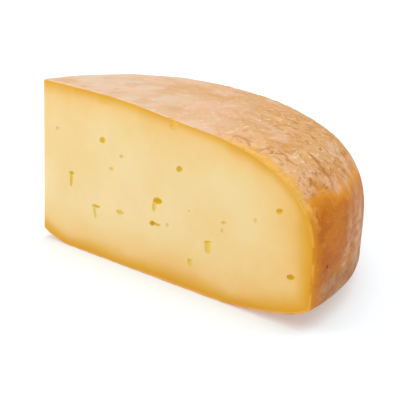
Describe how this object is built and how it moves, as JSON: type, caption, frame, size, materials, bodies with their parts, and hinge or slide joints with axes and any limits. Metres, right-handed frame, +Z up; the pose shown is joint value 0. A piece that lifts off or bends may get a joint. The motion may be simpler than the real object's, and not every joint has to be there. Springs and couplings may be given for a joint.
{
  "type": "raclette cheese quarter wheel",
  "caption": "Wedge of semi-hard cheese cut from a round wheel, with a domed rind and two plain cut faces, resting on its flat underside.",
  "frame": {"origin": "middle of the underside of the bounding box, on the plane that the cheese rests on", "axes": "+Z up; the wheel's centre is the upright edge at low X and low Y; one cut faces -Y, the other cut faces -X"},
  "size_m": [0.1448, 0.1448, 0.0741],
  "materials": {
    "cheese": "pale yellow paste with a soft sheen on the cuts, deeper yellow under the rind; dull pinkish beige to orange-brown rind"
  },
  "bodies": {
    "root": {"cheese": "cheese"}
  },
  "joints": []
}
